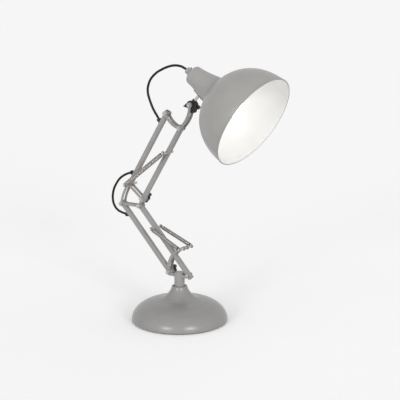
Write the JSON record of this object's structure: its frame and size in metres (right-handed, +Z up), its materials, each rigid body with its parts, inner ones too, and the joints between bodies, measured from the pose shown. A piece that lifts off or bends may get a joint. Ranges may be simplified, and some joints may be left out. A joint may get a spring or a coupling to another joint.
{
  "type": "task lamp",
  "caption": "Balanced-arm task lamp: heavy domed base, swivelling stem, sprung parallel-bar arms with a levelling elbow, tilting and turning spun shade, cord loops at the joints.",
  "frame": {"origin": "middle of the base's underside, on the table", "axes": "+Z up, +X from the stem towards the shade, arm pivots along Y, single upper spring on the -Y side"},
  "size_m": [0.3508, 0.1712, 0.4542],
  "materials": {
    "paint": "warm grey satin paint",
    "spun_paint": "spun aluminium, warm grey satin paint, white inside the shade",
    "black": "black moulded plastic",
    "steel": "plated steel",
    "spring": "drawn spring wire",
    "iron": "black painted iron",
    "pad": "soft foam pad",
    "flex": "black sheathed flex",
    "bulb": "opal glass",
    "cap": "screw cap"
  },
  "bodies": {
    "base": {"base_shell": "paint", "base_weight": "iron", "bottom_plate": "iron", "foot_pad": "pad", "neck_bush": "black", "outlet_bush": "black"},
    "turret": {"stem": "paint", "stem_cap": "paint", "horn_plate_near": "paint", "horn_plate_far": "paint", "rear_clamp_bolt": "steel", "front_pivot_bolt": "steel", "spring_anchor": "steel", "lower_spring_near": "spring", "lower_spring_far": "spring"},
    "base_wing": {"base_wing_nut": "black"},
    "lower_rear": {"lower_rear_bar": "paint", "lower_cord_bush": "black"},
    "lower_front": {"lower_front_bar": "paint", "toe_plug": "paint", "lower_spring_pin": "steel"},
    "elbow": {"elbow_plate_near": "paint", "elbow_plate_far": "paint", "elbow_rear_bolt": "steel", "elbow_front_bolt": "steel", "elbow_top_pin": "steel", "elbow_clamp_bolt": "steel", "upper_spring": "spring", "elbow_cord": "flex"},
    "elbow_wing": {"elbow_wing_nut": "black"},
    "upper_rear": {"upper_rear_bar": "paint", "upper_foot_bush": "black", "upper_top_bush": "black"},
    "upper_front": {"upper_front_bar": "paint", "upper_spring_pin": "steel"},
    "head_bracket": {"head_plate_near": "paint", "head_plate_far": "paint", "head_rear_bolt": "steel", "head_front_bolt": "steel", "tilt_bolt": "steel", "head_cord": "flex"},
    "tilt_wing": {"tilt_wing_nut": "black"},
    "knuckle": {"knuckle": "black"},
    "rod_nut": {"rod_lock_nut": "black"},
    "head": {"head_rod": "steel", "saddle_plate": "black", "socket_cup": "spun_paint", "shade": "spun_paint", "shade_ring": "black", "lamp_holder": "black", "bulb_cap": "cap", "bulb_glass": "bulb", "cord_gland": "spun_paint", "gland_washer": "black", "gland_screw": "steel"}
  },
  "joints": [
    {"name": "stem_swivel", "type": "hinge", "parent": "base", "child": "turret", "pos_m": [0, 0, 0.0635], "axis": [0, 0, 1], "range_deg": [-170, 170]},
    {"name": "lower_arm", "type": "hinge", "parent": "turret", "child": "lower_rear", "pos_m": [-0.0205, 0, 0.0865], "axis": [0, 1, 0], "range_deg": [-13, 25]},
    {"name": "lower_link", "type": "hinge", "parent": "turret", "child": "lower_front", "pos_m": [0.0205, 0, 0.0865], "axis": [0, 1, 0], "range_deg": [-13, 25], "deforming": ["lower_spring_near", "lower_spring_far"]},
    {"name": "elbow_level", "type": "hinge", "parent": "lower_rear", "child": "elbow", "pos_m": [-0.1272, 0, 0.19893], "axis": [0, 1, 0], "range_deg": [-25, 13]},
    {"name": "upper_arm", "type": "hinge", "parent": "elbow", "child": "upper_rear", "pos_m": [-0.1102, 0, 0.23633], "axis": [0, 1, 0], "range_deg": [-30, 30], "deforming": ["elbow_cord"]},
    {"name": "upper_link", "type": "hinge", "parent": "elbow", "child": "upper_front", "pos_m": [-0.0797, 0, 0.21251], "axis": [0, 1, 0], "range_deg": [-30, 30], "deforming": ["upper_spring"]},
    {"name": "head_level", "type": "hinge", "parent": "upper_rear", "child": "head_bracket", "pos_m": [-0.02557, 0, 0.36917], "axis": [0, 1, 0], "range_deg": [-30, 30], "deforming": ["head_cord"]},
    {"name": "head_tilt", "type": "hinge", "parent": "head_bracket", "child": "knuckle", "pos_m": [0.02683, 0, 0.38647], "axis": [0, 1, 0], "range_deg": [-30, 40]},
    {"name": "head_turn", "type": "hinge", "parent": "knuckle", "child": "head", "pos_m": [0.02683, 0, 0.38647], "axis": [0.6822, 0, 0.7312], "range_deg": [-45, 45]},
    {"name": "base_wing_spin", "type": "hinge", "parent": "turret", "child": "base_wing", "pos_m": [-0.0205, 0, 0.0865], "axis": [0, 1, 0], "continuous": true},
    {"name": "elbow_wing_spin", "type": "hinge", "parent": "elbow", "child": "elbow_wing", "pos_m": [-0.0797, 0, 0.21251], "axis": [0, 1, 0], "continuous": true},
    {"name": "tilt_wing_spin", "type": "hinge", "parent": "head_bracket", "child": "tilt_wing", "pos_m": [0.02683, 0, 0.38647], "axis": [0, 1, 0], "continuous": true},
    {"name": "rod_nut_spin", "type": "hinge", "parent": "head", "child": "rod_nut", "pos_m": [0.02683, 0, 0.38647], "axis": [0.6822, 0, 0.7312], "continuous": true}
  ],
  "couplings": [
    {"joint": "lower_link", "follows": "lower_arm", "ratio": 1},
    {"joint": "elbow_level", "follows": "lower_arm", "ratio": -1},
    {"joint": "upper_link", "follows": "upper_arm", "ratio": 1},
    {"joint": "head_level", "follows": "upper_arm", "ratio": -1}
  ]
}
